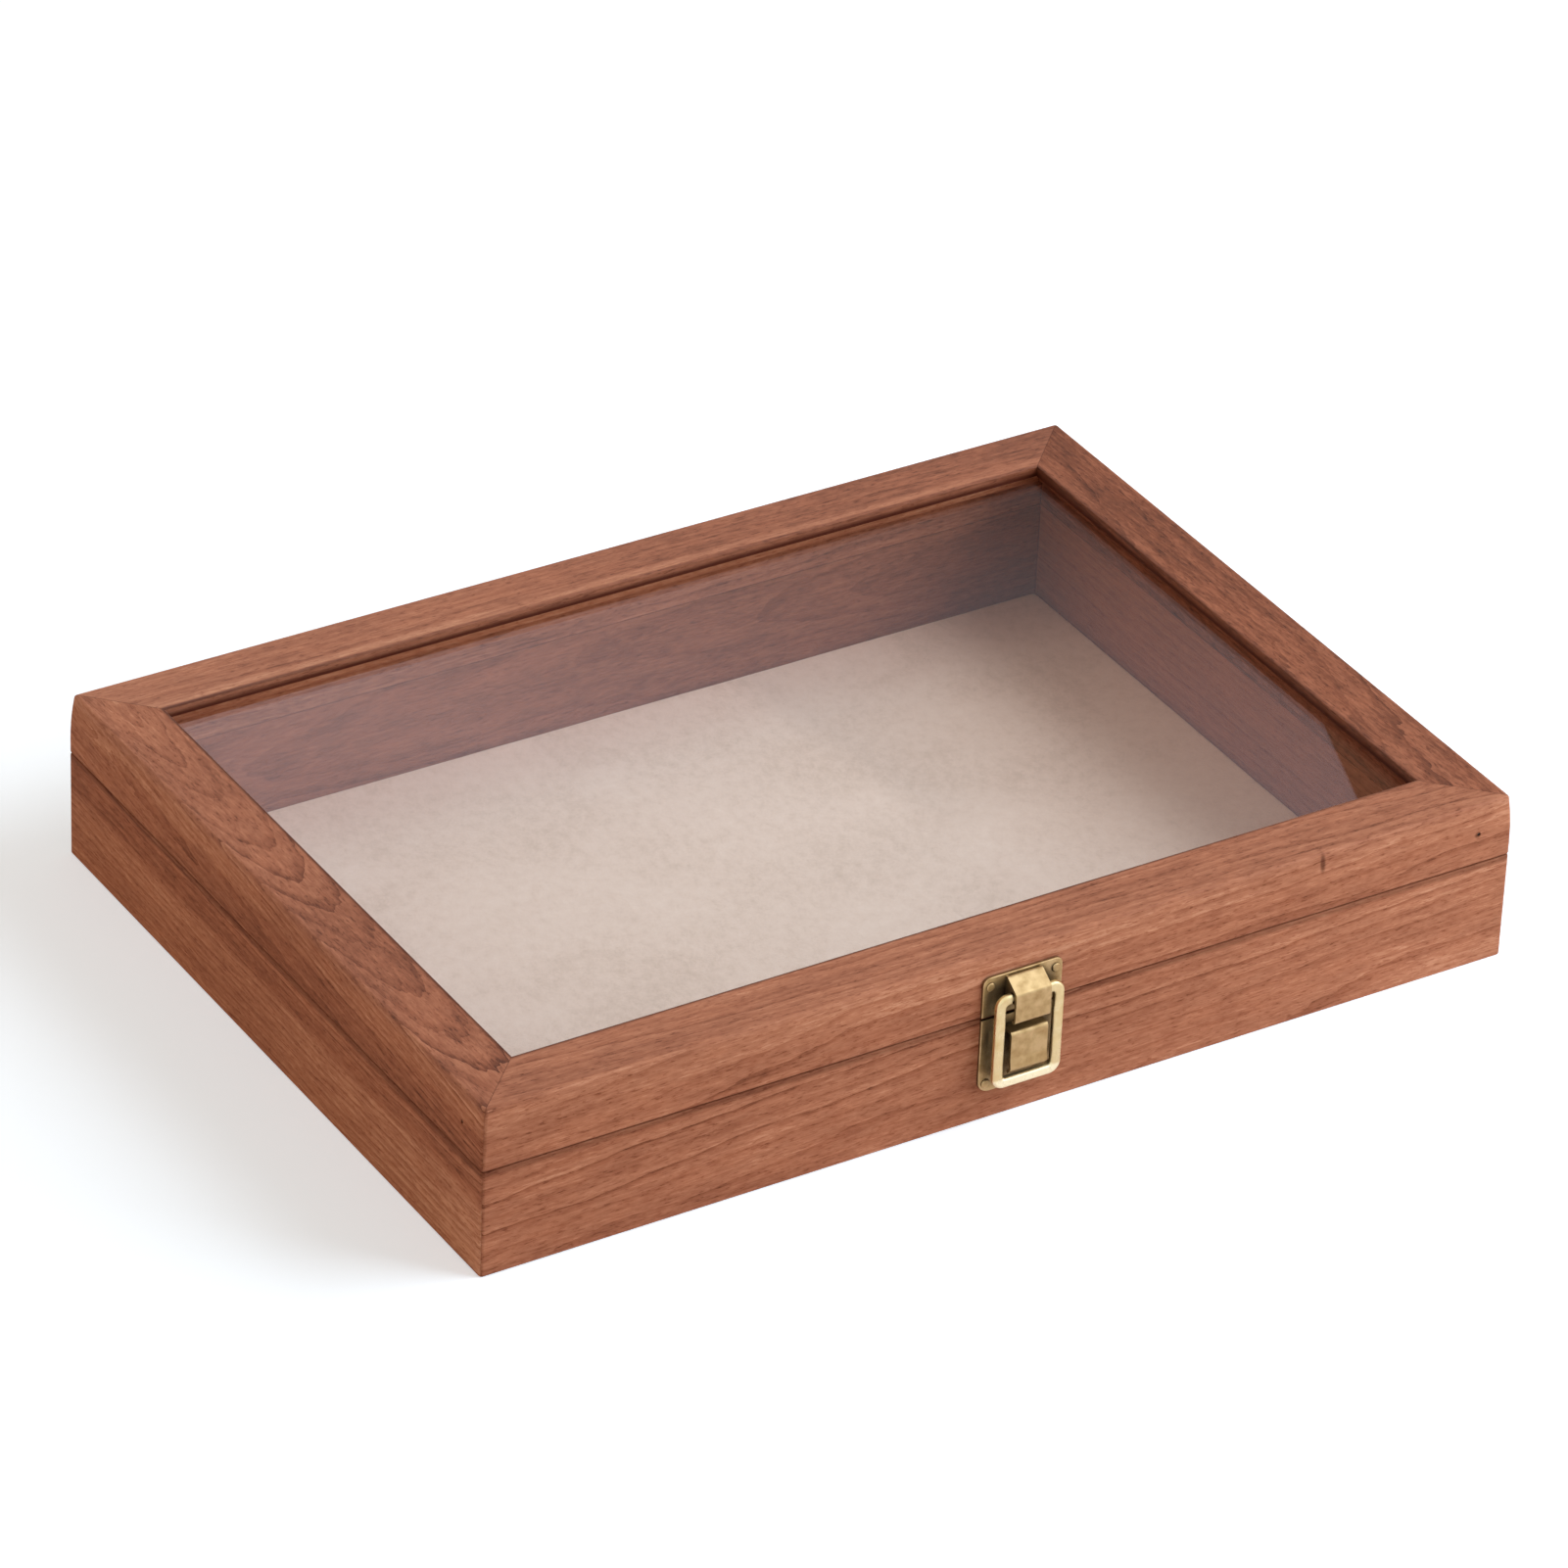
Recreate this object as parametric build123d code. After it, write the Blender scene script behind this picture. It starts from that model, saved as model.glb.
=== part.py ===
from build123d import *
import math
import os

# Specimen display case: a mitred wooden tray, a glazed lid on two butt hinges and a loop latch.
# Millimetres. +Z is up, +X runs to the right along the front, and the front faces -Y.
# The origin is the centre of the underside.

# Overall sizes
case_length = 350.0
case_depth = 250.0
tray_height = 35.5
lid_height = 20.2
seam_gap = 0.3

# Tray
wall_thickness = 14.0
corner_ease = 1.2
edge_ease = 0.6
panel_thickness = 2.5
panel_seat = 7.0
panel_clearance = 0.2

# Lining board in the tray: a card wrapped in cloth
card_thickness = 0.9
cloth_thickness = 0.6
lining_clearance = 0.3

# Lid frame and its glazing
rail_width = 21.0
glass_recess = 3.5
glass_thickness = 2.0
glass_clearance = 0.5
glass_edge_chamfer = 0.3
crown_height = 15.0
crown_inset = 1.0
arris_round = 0.4
bead_width = 4.0
bead_height = 4.0
bead_round = 1.6

# Wire nails through the lid's mitres
brad_radius = 0.6
nail_clearance = 0.02
brad_sink = 0.5
corner_brad_length = 22.0
corner_brad_cover = 2.0
corner_brad_below_top = 10.0

# Butt hinges on the back face
hinge_from_end = 60.0
leaf_width = 25.0
leaf_height = 9.5
leaf_thickness = 0.9
leaf_corner_round = 1.2
barrel_radius = 1.4
barrel_clearance = 0.35
knuckle_count = 3
knuckle_gap = 0.2
leaf_notch_clearance = 0.5
leaf_seam_clearance = 0.3
hinge_pin_radius = 0.6
hinge_pin_clearance = 0.06
hinge_pin_head_radius = 1.1
hinge_pin_head_length = 0.7
hinge_screw_radius = 0.9
hinge_screw_length = 9.0
hinge_screw_head_radius = 1.8
hinge_screw_head_height = 1.0
hinge_screw_spacing = 15.0
hinge_screw_from_axis = 6.0
screw_slot_width = 0.5
screw_slot_depth = 0.45

# Loop latch on the front face
latch_offset = 2.5
latch_plate_margin = 1.9
latch_plate_thickness = 0.9
latch_plate_edge_round = 0.3
lid_plate_height = 13.4
lid_plate_corner_round = 2.5
keeper_plate_margin = 3.1
keeper_plate_corner_round = 4.0
plate_seam_clearance = 0.45

# Strap that is folded down from the lid plate's top edge, and its two cheeks
strap_width = 12.0
strap_stand = 7.0
strap_shoulder_drop = 4.6
strap_length = 14.6
strap_bend_round = 0.9
strap_root = 2.7
strap_lip_turn = 1.5
cheek_thickness = 0.8
cheek_round = 1.9

# Loop
loop_width = 23.2
loop_bar_width = 3.4
loop_bar_thickness = 2.2
loop_edge_round = 0.9
loop_corner_round = 3.9
loop_inner_round = 1.0
loop_reach = 30.35
loop_rise = 1.5
loop_pivot_radius = 1.1
loop_pivot_clearance = 0.06
loop_pivot_stand = 4.8
loop_pivot_above_seam = 7.8
loop_side_clearance = 0.6

# Sprung tongue on the keeper plate, which the loop snaps under
tongue_width = 12.5
tongue_stand = 6.5
tongue_below_seam = 3.8
tongue_clearance = 0.8
tongue_bend_round = 0.8
tongue_root = 1.6
tongue_nose = 0.5
tongue_nose_low = 1.6
tongue_nose_high = 4.8

# Latch nails
latch_nail_radius = 0.6
latch_nail_length = 9.0
latch_nail_head_radius = 1.4
latch_nail_head_height = 0.5
latch_nail_head_chamfer = 0.25
latch_nail_from_side = 2.4
latch_nail_from_end = 3.1

# Places worked out from the sizes
half_length = case_length / 2
half_depth = case_depth / 2
lid_bottom = tray_height + seam_gap
lid_top = lid_bottom + lid_height
seam_middle = tray_height + seam_gap / 2
inner_length = case_length - 2 * wall_thickness
inner_depth = case_depth - 2 * wall_thickness
glass_top = lid_top - glass_recess
glass_bottom = glass_top - glass_thickness
bead_bottom = glass_bottom - bead_height
hinge_axis_y = half_depth + barrel_radius + barrel_clearance
hinge_places = {"left": -half_length + hinge_from_end, "right": half_length - hinge_from_end}
knuckle_width = (leaf_width - (knuckle_count - 1) * knuckle_gap) / knuckle_count
loop_pivot_y = -half_depth - loop_pivot_stand
loop_pivot_z = seam_middle + loop_pivot_above_seam
loop_bottom = loop_pivot_z - loop_reach
latch_plate_width = loop_width + 2 * latch_plate_margin
lid_plate_low = seam_middle + plate_seam_clearance
lid_plate_high = lid_plate_low + lid_plate_height
keeper_plate_high = seam_middle - plate_seam_clearance
keeper_plate_low = loop_bottom - keeper_plate_margin
over = 1.0


def block(x0, x1, y0, y1, z0, z1):
    """A box between two corners."""
    return Pos((x0 + x1) / 2, (y0 + y1) / 2, (z0 + z1) / 2) * Box(x1 - x0, y1 - y0, z1 - z0)


def centred_block(length, depth, z0, z1):
    """A box centred on the Z axis."""
    return block(-length / 2, length / 2, -depth / 2, depth / 2, z0, z1)


def rod(start, direction, length, radius):
    """A round bar from a start point along a direction."""
    return Plane(origin=start, z_dir=direction) * extrude(Circle(radius), length)


def outline_face(points):
    """A face inside straight lines."""
    return make_face(Polyline(*points, close=True))


def side_wedge(side, z0, z1):
    """The space that one side of a mitred frame fills, out to its 45 degree mitres."""
    reach = min(half_length, half_depth)
    out_x = half_length + over
    out_y = half_depth + over
    in_x = half_length - reach
    in_y = half_depth - reach
    corners = {
        "front": [(-out_x, -out_y), (out_x, -out_y), (in_x, -in_y), (-in_x, -in_y)],
        "back": [(out_x, out_y), (-out_x, out_y), (-in_x, in_y), (in_x, in_y)],
        "left": [(-out_x, out_y), (-out_x, -out_y), (-in_x, -in_y), (-in_x, in_y)],
        "right": [(out_x, -out_y), (out_x, out_y), (in_x, in_y), (in_x, -in_y)],
    }[side]
    points = []
    for corner in corners:
        if corner not in points:
            points.append(corner)
    return Pos(0, 0, z0) * extrude(outline_face(points), z1 - z0)


def mitred_sides(frame, z0, z1):
    """Cuts a rectangular frame into its four mitred sides."""
    return {side: frame & side_wedge(side, z0 - over, z1 + over) for side in ("front", "back", "left", "right")}


def outer_corner_edges(body, reach):
    """The standing edges at a case body's four outer corners."""
    found = []
    for edge in body.edges():
        middle = edge.center()
        standing = edge.bounding_box().size.Z > over
        at_corner = abs(middle.X) > half_length - reach and abs(middle.Y) > half_depth - reach
        if standing and at_corner:
            found.append(edge)
    return found


# Tray walls: one moulded ring, eased, then cut at its mitres
def tray_walls():
    ring = centred_block(case_length, case_depth, 0, tray_height)
    ring = fillet(outer_corner_edges(ring, over), corner_ease)
    rims = ring.faces().sort_by(Axis.Z)[-1].edges() + ring.faces().sort_by(Axis.Z)[0].edges()
    ring = fillet(rims, edge_ease)
    ring -= centred_block(inner_length, inner_depth, -over, tray_height + over)
    seat_length = inner_length + 2 * panel_seat
    seat_depth = inner_depth + 2 * panel_seat
    ring -= centred_block(seat_length, seat_depth, -over, panel_thickness)
    return mitred_sides(ring, 0, tray_height)


def bottom_panel():
    length = inner_length + 2 * panel_seat - 2 * panel_clearance
    depth = inner_depth + 2 * panel_seat - 2 * panel_clearance
    return centred_block(length, depth, 0, panel_thickness)


def lining_sizes():
    """The cloth's and the card's length and depth."""
    cloth_length = inner_length - 2 * lining_clearance
    cloth_depth = inner_depth - 2 * lining_clearance
    card_length = cloth_length - 2 * cloth_thickness
    card_depth = cloth_depth - 2 * cloth_thickness
    return cloth_length, cloth_depth, card_length, card_depth


def lining_card():
    length, depth = lining_sizes()[2:]
    return centred_block(length, depth, panel_thickness, panel_thickness + card_thickness)


def lining_cloth():
    length, depth = lining_sizes()[:2]
    top = panel_thickness + card_thickness + cloth_thickness
    cloth = centred_block(length, depth, panel_thickness, top)
    cloth = fillet(cloth.edges().filter_by(Axis.Z), corner_ease)
    return cloth - lining_card()


# Lid frame: crowned outer faces, a lip over the glass and a rebate under it
def crowned_outline(half_width):
    """The lid's cross-section: straight sides that curve in towards the top."""
    crown_start = lid_top - crown_height
    left_low = (-half_width, lid_bottom)
    left_start = (-half_width, crown_start)
    left_top = (-half_width + crown_inset, lid_top)
    right_top = (half_width - crown_inset, lid_top)
    right_start = (half_width, crown_start)
    right_low = (half_width, lid_bottom)
    lines = Curve() + [
        Line(left_low, left_start),
        TangentArc(left_start, left_top, tangent=(0, 1)),
        Line(left_top, right_top),
        TangentArc(right_start, right_top, tangent=(0, 1)),
        Line(right_start, right_low),
        Line(right_low, left_low),
    ]
    return make_face(lines)


def lid_rails():
    along_x = extrude(Plane.YZ * crowned_outline(half_depth), half_length, both=True)
    along_y = extrude(Plane.XZ * crowned_outline(half_length), half_depth, both=True)
    body = along_x & along_y
    top_edges = body.faces().sort_by(Axis.Z)[-1].edges()
    body = fillet(top_edges + outer_corner_edges(body, crown_inset + over), corner_ease)
    body = fillet(body.faces().sort_by(Axis.Z)[0].edges(), edge_ease)
    window_length = case_length - 2 * rail_width
    window_depth = case_depth - 2 * rail_width
    body -= centred_block(window_length, window_depth, lid_bottom - over, lid_top + over)
    top_face = body.faces().sort_by(Axis.Z)[-1]
    body = fillet(top_face.inner_wires()[0].edges(), arris_round)
    body -= centred_block(inner_length, inner_depth, lid_bottom - over, glass_top)
    return mitred_sides(body, lid_bottom, lid_top)


def glass_pane():
    length = inner_length - 2 * glass_clearance
    depth = inner_depth - 2 * glass_clearance
    pane = centred_block(length, depth, glass_bottom, glass_top)
    rims = pane.faces().sort_by(Axis.Z)[-1].edges() + pane.faces().sort_by(Axis.Z)[0].edges()
    return chamfer(rims, glass_edge_chamfer)


def glass_beads():
    ring = centred_block(inner_length, inner_depth, bead_bottom, glass_bottom)
    opening_length = inner_length - 2 * bead_width
    opening_depth = inner_depth - 2 * bead_width
    ring -= centred_block(opening_length, opening_depth, bead_bottom - over, glass_bottom + over)
    low_face = ring.faces().sort_by(Axis.Z)[0]
    ring = fillet(low_face.inner_wires()[0].edges(), bead_round)
    return mitred_sides(ring, bead_bottom, glass_bottom)


def corner_brad_places():
    """One brad for each lid corner: the face that it enters from, its direction and the two rails."""
    inset = wall_thickness - corner_brad_cover
    side_x = half_length - inset
    side_y = half_depth - inset
    height = lid_top - corner_brad_below_top
    return [
        ((side_x, -half_depth, height), (0, 1, 0), ("front", "right")),
        ((half_length, side_y, height), (-1, 0, 0), ("right", "back")),
        ((-side_x, half_depth, height), (0, -1, 0), ("back", "left")),
        ((-half_length, -side_y, height), (1, 0, 0), ("left", "front")),
    ]


def along(start, direction, distance):
    """The point a distance from a start along a unit direction."""
    return tuple(a + b * distance for a, b in zip(start, direction))


# Butt hinges
def leaf_profile(sign):
    """A leaf's plate, above the pivot for sign 1 and below it for sign -1, with its corners rounded."""
    near = leaf_seam_clearance
    far = leaf_height
    low = min(sign * near, sign * far)
    high = max(sign * near, sign * far)
    plate = block(-leaf_width / 2, leaf_width / 2, half_depth, half_depth + leaf_thickness, low, high)
    far_edges = plate.edges().filter_by(Axis.Y).sort_by(Axis.Z)
    picked = far_edges[-2:] if sign > 0 else far_edges[:2]
    return fillet(picked, leaf_corner_round)


def hinge_leaf(sign, own_knuckles):
    """One leaf with its knuckles, centred at x = 0 with the pivot at z = 0."""
    leaf = leaf_profile(sign)
    notch_reach = barrel_radius + leaf_notch_clearance
    for index in range(knuckle_count):
        x0 = -leaf_width / 2 + index * (knuckle_width + knuckle_gap)
        x1 = x0 + knuckle_width
        if index in own_knuckles:
            leaf += rod((x0, hinge_axis_y, 0), (1, 0, 0), knuckle_width, barrel_radius)
        else:
            leaf -= block(x0 - knuckle_gap, x1 + knuckle_gap, half_depth - over,
                          half_depth + leaf_thickness + over, -notch_reach, notch_reach)
    bore = hinge_pin_radius + hinge_pin_clearance
    leaf -= rod((-leaf_width, hinge_axis_y, 0), (1, 0, 0), 2 * leaf_width, bore)
    for x in (-hinge_screw_spacing / 2, hinge_screw_spacing / 2):
        start = (x, half_depth - over, sign * hinge_screw_from_axis)
        leaf -= rod(start, (0, 1, 0), leaf_thickness + 2 * over, hinge_screw_radius + nail_clearance)
    return leaf


def hinge_pin():
    """A pin with a head past each end of the barrel, centred at x = 0."""
    reach = leaf_width / 2 + knuckle_gap
    pin = rod((-reach, hinge_axis_y, 0), (1, 0, 0), 2 * reach, hinge_pin_radius)
    for direction in (-1, 1):
        start = (direction * reach, hinge_axis_y, 0)
        pin += rod(start, (direction, 0, 0), hinge_pin_head_length, hinge_pin_head_radius)
    return pin


def domed_screw(start, direction):
    """A round-head screw: start is where its head meets the leaf, direction points into the wood."""
    sphere_radius = (hinge_screw_head_radius ** 2 + hinge_screw_head_height ** 2) / (2 * hinge_screw_head_height)
    crown = (0, hinge_screw_head_height)
    rim = (hinge_screw_head_radius, 0)
    lines = Curve() + [
        Line((0, 0), rim),
        RadiusArc(crown, rim, sphere_radius),
        Line(crown, (0, 0)),
    ]
    head = revolve(Plane.XZ * make_face(lines), Axis.Z)
    shank = Pos(0, 0, -hinge_screw_length / 2) * Cylinder(hinge_screw_radius, hinge_screw_length)
    slot = Pos(0, 0, hinge_screw_head_height - screw_slot_depth / 2)
    slot *= Box(2 * hinge_screw_head_radius, screw_slot_width, screw_slot_depth)
    outward = tuple(-value for value in direction)
    return Plane(origin=start, z_dir=outward) * (head + shank - slot)


def hinge_screw_places(sign):
    face_y = half_depth + leaf_thickness
    height = seam_middle + sign * hinge_screw_from_axis
    return [(centre + x, face_y, height)
            for centre in hinge_places.values()
            for x in (-hinge_screw_spacing / 2, hinge_screw_spacing / 2)]


# Latch
def front_plane(x):
    """A sketch plane seen from the right: first axis out of the front face, second axis up."""
    return Plane(origin=(x, -half_depth, 0), x_dir=(0, -1, 0), z_dir=(-1, 0, 0))


def bent_strip(points, radius, width):
    """A strip of plate bent along points that are given as (out of the front face, height)."""
    path = FilletPolyline(*points, radius=radius)
    section = trace(path, latch_plate_thickness)
    return extrude(front_plane(latch_offset + width / 2) * section, width)


def latch_plate(low, high, corner_edges, corner_round):
    plate = block(latch_offset - latch_plate_width / 2, latch_offset + latch_plate_width / 2,
                  -half_depth - latch_plate_thickness, -half_depth, low, high)
    ordered = plate.edges().filter_by(Axis.Y).sort_by(Axis.Z)
    picked = ordered[-2:] if corner_edges == "top" else ordered[:2]
    plate = fillet(picked, corner_round)
    return fillet(plate.faces().sort_by(Axis.Y)[0].edges(), latch_plate_edge_round)


def latch_lid_plate():
    plate = latch_plate(lid_plate_low, lid_plate_high, "top", lid_plate_corner_round)
    half_sheet = latch_plate_thickness / 2
    face = strap_stand - half_sheet
    strap_top = lid_plate_high - half_sheet
    shoulder = lid_plate_high - strap_shoulder_drop
    strap_low = lid_plate_high - strap_length
    points = [
        (half_sheet, strap_top - strap_root),
        (half_sheet, strap_top),
        (face, shoulder),
        (face, strap_low + half_sheet),
        (face - strap_lip_turn, strap_low + half_sheet),
    ]
    strap = bent_strip(points, strap_bend_round, strap_width)
    pivot = (loop_pivot_stand, loop_pivot_z)
    cheek_points = [
        (half_sheet, strap_top),
        (face, shoulder),
        (face, loop_pivot_z - cheek_round),
        (latch_plate_thickness, loop_pivot_z - cheek_round),
        (half_sheet, loop_pivot_z),
    ]
    bore = Pos(*pivot) * Circle(loop_pivot_radius + loop_pivot_clearance)
    cheek_outline = outline_face(cheek_points) - bore
    for x in (latch_offset - strap_width / 2 + cheek_thickness, latch_offset + strap_width / 2):
        strap += extrude(front_plane(x) * cheek_outline, cheek_thickness)
    return plate + strap


def latch_keeper_plate():
    plate = latch_plate(keeper_plate_low, keeper_plate_high, "bottom", keeper_plate_corner_round)
    half_sheet = latch_plate_thickness / 2
    face = tongue_stand - half_sheet
    top = seam_middle - tongue_below_seam - half_sheet
    tip = loop_bottom + loop_bar_width + tongue_clearance + half_sheet
    points = [
        (half_sheet, top - tongue_root),
        (half_sheet, top),
        (face - tongue_nose, top),
        (face - tongue_nose, tip + tongue_nose_high),
        (face, tip + tongue_nose_low),
        (face - strap_lip_turn, tip),
    ]
    return plate + bent_strip(points, tongue_bend_round, tongue_width)


def latch_loop():
    """A flat ring with rounded bars, whose top bar is turned down to a round pivot."""
    top = loop_pivot_z + loop_rise
    height = top - loop_bottom
    middle = (top + loop_bottom) / 2
    inner_width = loop_width - 2 * loop_bar_width
    inner_height = height - 2 * loop_bar_width
    outline = RectangleRounded(loop_width, height, loop_corner_round)
    outline -= RectangleRounded(inner_width, inner_height, loop_inner_round)
    face = Plane(origin=(latch_offset, loop_pivot_y, middle), x_dir=(1, 0, 0), z_dir=(0, -1, 0)) * outline
    ring = extrude(face, loop_bar_thickness / 2, both=True)
    flats = ring.faces().sort_by(Axis.Y)
    ring = fillet(flats[0].edges() + flats[-1].edges(), loop_edge_round)
    neck = strap_width / 2 + loop_side_clearance
    ring -= block(latch_offset - neck, latch_offset + neck, loop_pivot_y - over - loop_bar_thickness,
                  loop_pivot_y + over + loop_bar_thickness, middle, top + over)
    pivot_half = inner_width / 2
    pivot = rod((latch_offset - pivot_half, loop_pivot_y, loop_pivot_z), (1, 0, 0), 2 * pivot_half,
                loop_pivot_radius)
    return ring + pivot


def latch_nail(x, z):
    """A flat-headed nail through a latch plate into the front face."""
    face_y = -half_depth - latch_plate_thickness
    head = rod((x, face_y, z), (0, -1, 0), latch_nail_head_height, latch_nail_head_radius)
    head = chamfer(head.faces().sort_by(Axis.Y)[0].edges(), latch_nail_head_chamfer)
    return head + rod((x, face_y, z), (0, 1, 0), latch_nail_length, latch_nail_radius)


def latch_nail_places(height):
    """Two nails at one height, in a latch plate's outer corners."""
    side = latch_plate_width / 2 - latch_nail_from_side
    return [(latch_offset - side, height), (latch_offset + side, height)]


# Assembly
def build():
    nodes = {}
    for side, wall in tray_walls().items():
        nodes[f"tray_{side}_wall"] = wall
    for side, rail in lid_rails().items():
        nodes[f"lid_{side}_rail"] = rail
    for side, bead in glass_beads().items():
        nodes[f"glass_bead_{side}"] = bead
    nodes["bottom_panel"] = bottom_panel()
    nodes["lining_card"] = lining_card()
    nodes["lining_cloth"] = lining_cloth()
    nodes["glass_pane"] = glass_pane()

    brads = []
    for start, direction, sides in corner_brad_places():
        brads.append(rod(along(start, direction, brad_sink), direction, corner_brad_length, brad_radius))
        hole = rod(start, direction, brad_sink + corner_brad_length, brad_radius + nail_clearance)
        for side in sides:
            nodes[f"lid_{side}_rail"] -= hole
    nodes["lid_corner_brads"] = Compound(children=brads)

    lid_knuckles = [index for index in range(knuckle_count) if index % 2]
    tray_knuckles = [index for index in range(knuckle_count) if index % 2 == 0]
    for name, x in hinge_places.items():
        place = Pos(x, 0, seam_middle)
        nodes[f"{name}_hinge_lid_leaf"] = place * hinge_leaf(1, lid_knuckles)
        nodes[f"{name}_hinge_tray_leaf"] = place * hinge_leaf(-1, tray_knuckles)
        nodes[f"{name}_hinge_pin"] = place * hinge_pin()

    for owner, sign, wood in (("lid", 1, "lid_back_rail"), ("tray", -1, "tray_back_wall")):
        screws = []
        for place in hinge_screw_places(sign):
            screws.append(domed_screw(place, (0, -1, 0)))
            nodes[wood] -= rod(place, (0, -1, 0), hinge_screw_length, hinge_screw_radius + nail_clearance)
        nodes[f"hinge_{owner}_screws"] = Compound(children=screws)

    nodes["latch_lid_plate"] = latch_lid_plate()
    nodes["latch_keeper_plate"] = latch_keeper_plate()
    nodes["latch_loop"] = latch_loop()
    nail_groups = (
        ("latch_lid_nails", lid_plate_high - latch_nail_from_end, ("latch_lid_plate", "lid_front_rail")),
        ("latch_keeper_nails", keeper_plate_low + latch_nail_from_end, ("latch_keeper_plate", "tray_front_wall")),
    )
    for group, height, holders in nail_groups:
        nails = []
        for x, z in latch_nail_places(height):
            nails.append(latch_nail(x, z))
            start = (x, -half_depth - latch_plate_thickness, z)
            hole = rod(start, (0, 1, 0), latch_nail_length, latch_nail_radius + nail_clearance)
            for holder in holders:
                nodes[holder] -= hole
        nodes[group] = Compound(children=nails)
    return nodes


os.makedirs("parts", exist_ok=True)
for name, shape in build().items():
    export_step(shape, f"parts/{name}.step")
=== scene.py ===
# %% [markdown]
# # A wooden case with a glass lid
# The object is a shallow display case. Two mitred wooden frames lie one on the other, and the upper one
# holds a sheet of glass. The solid parts come ready made at their real size and stay where they are.
# This lesson gives them their finish, makes the soft lining, and lights the whole.

# %% Load the solid parts
import math
import bmesh
import bpy
from mathutils import Matrix, Vector, noise


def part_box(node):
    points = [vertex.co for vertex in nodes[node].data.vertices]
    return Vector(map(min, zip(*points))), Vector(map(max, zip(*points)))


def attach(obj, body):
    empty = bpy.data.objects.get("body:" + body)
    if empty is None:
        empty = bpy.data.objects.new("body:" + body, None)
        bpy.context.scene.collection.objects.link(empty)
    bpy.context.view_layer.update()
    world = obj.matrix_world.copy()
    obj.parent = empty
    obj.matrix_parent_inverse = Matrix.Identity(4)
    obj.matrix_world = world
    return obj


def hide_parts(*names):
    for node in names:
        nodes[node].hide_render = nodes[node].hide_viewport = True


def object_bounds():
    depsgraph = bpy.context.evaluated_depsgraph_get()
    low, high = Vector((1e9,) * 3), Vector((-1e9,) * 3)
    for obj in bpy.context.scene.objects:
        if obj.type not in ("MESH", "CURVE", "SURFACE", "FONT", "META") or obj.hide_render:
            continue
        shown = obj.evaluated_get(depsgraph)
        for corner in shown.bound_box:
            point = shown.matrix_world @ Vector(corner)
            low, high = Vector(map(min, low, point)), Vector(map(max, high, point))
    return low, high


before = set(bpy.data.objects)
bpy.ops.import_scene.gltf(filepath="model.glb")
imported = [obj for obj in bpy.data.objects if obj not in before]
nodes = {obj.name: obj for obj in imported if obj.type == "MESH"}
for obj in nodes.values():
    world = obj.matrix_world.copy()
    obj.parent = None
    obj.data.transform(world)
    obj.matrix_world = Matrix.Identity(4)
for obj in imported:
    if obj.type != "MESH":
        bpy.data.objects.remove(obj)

MM = 0.001
cad_low, cad_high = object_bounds()
print("solid parts:", len(nodes), "and the case is", [round(v / MM, 1) for v in cad_high - cad_low], "mm")

# %% [markdown]
# ## Sizes read from the parts
# Everything made here sits on a solid part, so its place is read from that part's box and not typed again.
# A list of numbers would do as well, but then a change to the case would leave the new pieces behind.

# %% Read the sizes
cloth_low, cloth_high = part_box("lining_cloth")
panel_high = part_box("bottom_panel")[1]
pane_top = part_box("glass_pane")[1].z
wall_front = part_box("tray_front_wall")[0].y
wall_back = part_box("tray_back_wall")[1].y
wall_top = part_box("tray_front_wall")[1].z
mitre_offset = (cad_high.x - cad_low.x) / 2 - (wall_back - wall_front) / 2
print("lining", [round(v / MM, 2) for v in cloth_high - cloth_low], "mm")
print("seam at", round(wall_top / MM, 2), "mm")

# %% [markdown]
# ## The camera
# The photograph is taken from the front left, a third of the way up, with a long lens that keeps the long
# edges nearly parallel. The camera could be aimed by hand, but angles and a distance are easier to read
# and to change, so its axes are built from them.

# %% Place the camera
view_azimuth = math.radians(-32.564)
view_elevation = math.radians(32.258)
view_roll = math.radians(2.473)
view_distance = 2.562
view_target = Vector((-1.24, 0.0, 42.55)) * MM
view_reach = 20.0
sensor_width = 36.0
lens_length = 197.99


def direction(azimuth, elevation):
    """The unit vector from the case towards a place round it; azimuth 0 is in front and 90 to the right."""
    level = math.cos(elevation)
    return Vector((math.sin(azimuth) * level, -math.cos(azimuth) * level, math.sin(elevation)))


def aimed(place, target, roll=0.0):
    """A matrix that looks from place to target, rolled about the line of sight."""
    look = (target - place).to_track_quat("-Z", "Y").to_matrix().to_4x4()
    return Matrix.Translation(place) @ look @ Matrix.Rotation(roll, 4, "Z")


camera_place = view_target + direction(view_azimuth, view_elevation) * view_distance
camera_lens = bpy.data.cameras.new("case_camera")
camera_lens.lens = lens_length
camera_lens.sensor_width = sensor_width
camera_lens.clip_end = view_reach
camera = bpy.data.objects.new("case_camera", camera_lens)
camera.matrix_world = aimed(camera_place, view_target, view_roll)
bpy.context.scene.collection.objects.link(camera)
bpy.context.scene.camera = camera
bpy.context.scene.view_settings.view_transform = "Standard"
print("camera at", [round(v, 3) for v in camera_place])

# %% [markdown]
# ## Short ways to make materials
# A material is a small network of nodes. Made in code it needs the same things again and again: a node with
# its settings, a colour written as it is seen on a screen, a place on the surface, noise, and sums between
# values. Each gets a short function.

# %% Helpers for nodes and colours


def seen(red, green, blue):
    """A colour as a screen shows it, 0 to 255, turned into the linear light that Blender works in."""
    linear = [((v / 255 + 0.055) / 1.055) ** 2.4 if v > 10 else v / 255 / 12.92 for v in (red, green, blue)]
    return (*linear, 1.0)


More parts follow.
